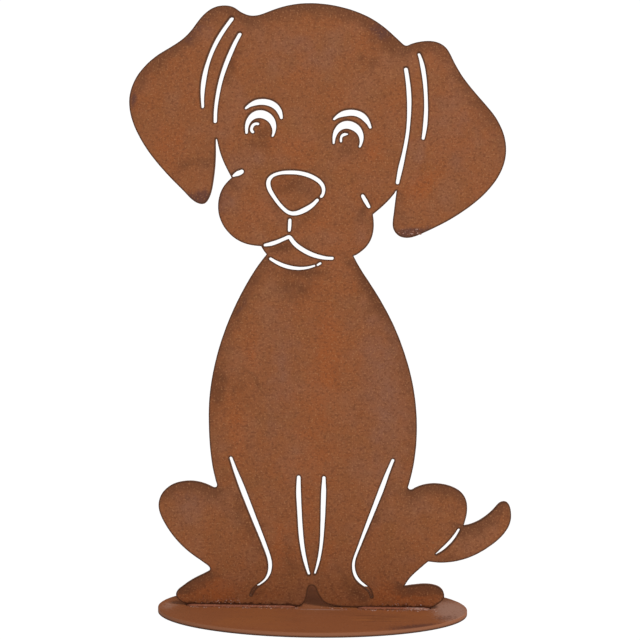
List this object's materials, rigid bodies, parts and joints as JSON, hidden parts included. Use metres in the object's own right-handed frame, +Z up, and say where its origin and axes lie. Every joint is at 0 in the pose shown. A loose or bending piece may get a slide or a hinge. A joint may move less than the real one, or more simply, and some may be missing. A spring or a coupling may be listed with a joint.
{
  "type": "rusted sheet-steel dog figure on an oval base plate",
  "caption": "Sitting puppy cut from one flat steel sheet, its features cut through as slots, welded upright on an oval base plate; rusted all over.",
  "frame": {"origin": "middle of the base plate's underside, where it rests on the ground", "axes": "+Z up; the dog's sheet lies in the plane y = 0 and its front looks along -Y; +X is to the right as seen from the front, towards the tail"},
  "size_m": [0.3144, 0.128, 0.5004],
  "materials": {
    "rusted_sheet": "matte rust patina on mild steel",
    "rusted_base": "matte rust patina on mild steel",
    "rusted_weld": "rough rust crust on weld metal"
  },
  "bodies": {
    "root": {"dog_plate": "rusted_sheet", "base_plate": "rusted_base", "left_weld_bead": "rusted_weld", "right_weld_bead": "rusted_weld"}
  },
  "joints": []
}
